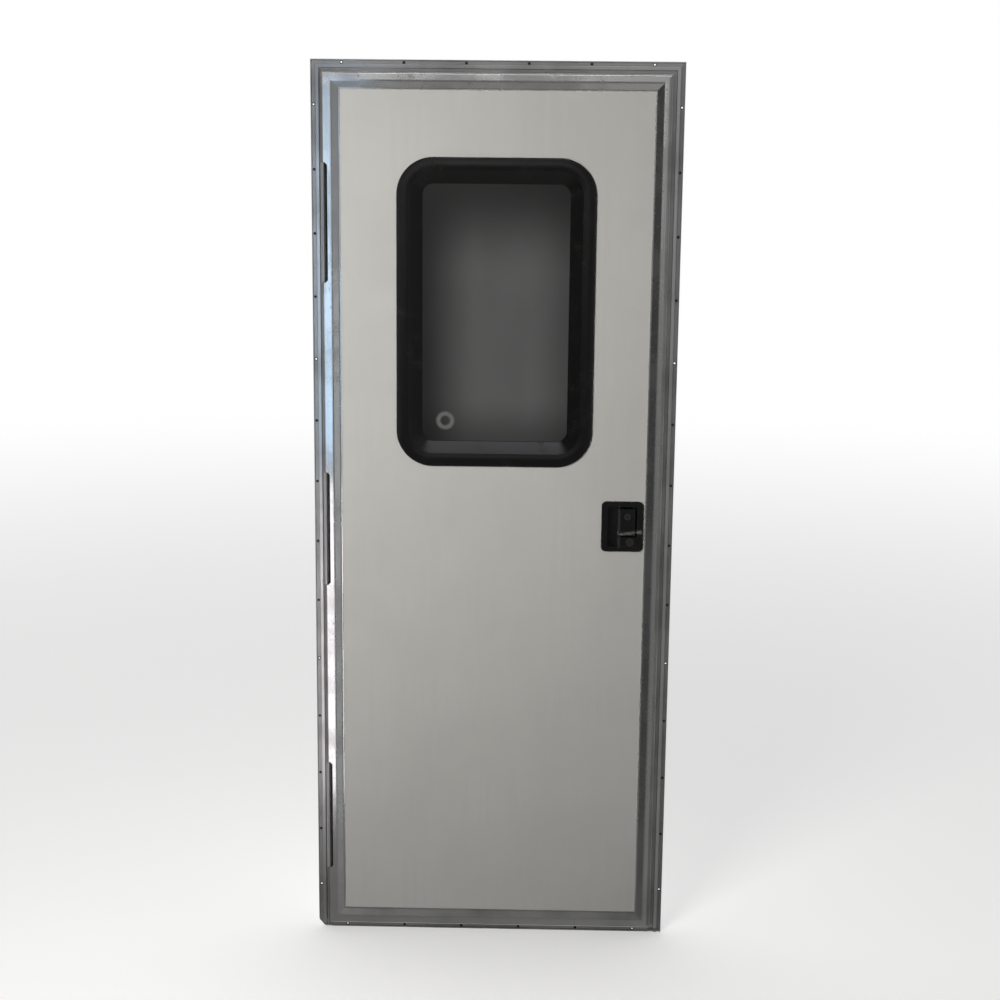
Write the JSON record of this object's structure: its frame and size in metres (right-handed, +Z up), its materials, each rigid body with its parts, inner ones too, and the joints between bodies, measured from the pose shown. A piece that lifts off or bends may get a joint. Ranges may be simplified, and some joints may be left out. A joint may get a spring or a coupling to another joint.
{
  "type": "caravan entry door",
  "caption": "Caravan entry door in its flanged aluminium frame: outward-opening leaf on a long pin hinge, rounded tinted window and black paddle lock.",
  "frame": {"origin": "middle of the sill flange's back face, which seats on the wall's outer face", "axes": "+X to the right seen from outside, +Y into the caravan, +Z up"},
  "size_m": [0.762, 0.066, 1.88],
  "materials": {
    "frame_aluminium": "mill finish, drawn lines along the extrusion, scuffed",
    "leaf_aluminium": "mill finish, drawn lines along the extrusion, scuffed",
    "steel": "zinc plated",
    "lock_cylinder": "dark satin",
    "seal_rubber": "matt black",
    "outer_skin": "off-white smooth satin sheet",
    "inner_skin": "off-white satin sheet",
    "foam_core": "rigid foam",
    "window_plastic": "fine moulded grain, black",
    "tinted_glass": "dark grey tint",
    "latch_plastic": "fine moulded grain, black"
  },
  "bodies": {
    "frame": {"hinge_jamb": "frame_aluminium", "latch_jamb": "frame_aluminium", "header": "frame_aluminium", "sill": "frame_aluminium", "upper_hinge_knuckle": "frame_aluminium", "middle_hinge_knuckle": "frame_aluminium", "lower_hinge_knuckle": "frame_aluminium", "hinge_pin": "steel", "hinge_side_seal": "seal_rubber", "latch_side_seal": "seal_rubber", "top_seal": "seal_rubber", "bottom_seal": "seal_rubber", "strike_plate": "steel"},
    "leaf": {"hinge_stile": "leaf_aluminium", "latch_stile": "leaf_aluminium", "top_rail": "leaf_aluminium", "bottom_rail": "leaf_aluminium", "outer_skin": "outer_skin", "core": "foam_core", "inner_skin": "inner_skin", "window_frame": "window_plastic", "window_trim_ring": "window_plastic", "window_glass": "tinted_glass", "glazing_seal": "seal_rubber", "latch_housing": "latch_plastic", "paddle_pin": "steel", "deadbolt_cylinder": "lock_cylinder", "lock_case": "steel", "edge_plate": "steel", "latch_bolt": "steel", "deadbolt": "steel", "inside_plate": "latch_plastic", "inside_lever": "latch_plastic", "thumb_turn": "latch_plastic"},
    "paddle": {"paddle": "latch_plastic", "paddle_cylinder": "lock_cylinder"}
  },
  "joints": [
    {"name": "door_swing", "type": "hinge", "parent": "frame", "child": "leaf", "pos_m": [-0.356, -0.0165, 0.9002], "axis": [0, 0, -1], "range_deg": [0, 170]},
    {"name": "paddle_pull", "type": "hinge", "parent": "leaf", "child": "paddle", "pos_m": [0.298, -0.014, 0.9132], "axis": [0, 0, 1], "range_deg": [0, 35], "stiffness_Nm_per_rad": 0.5}
  ]
}
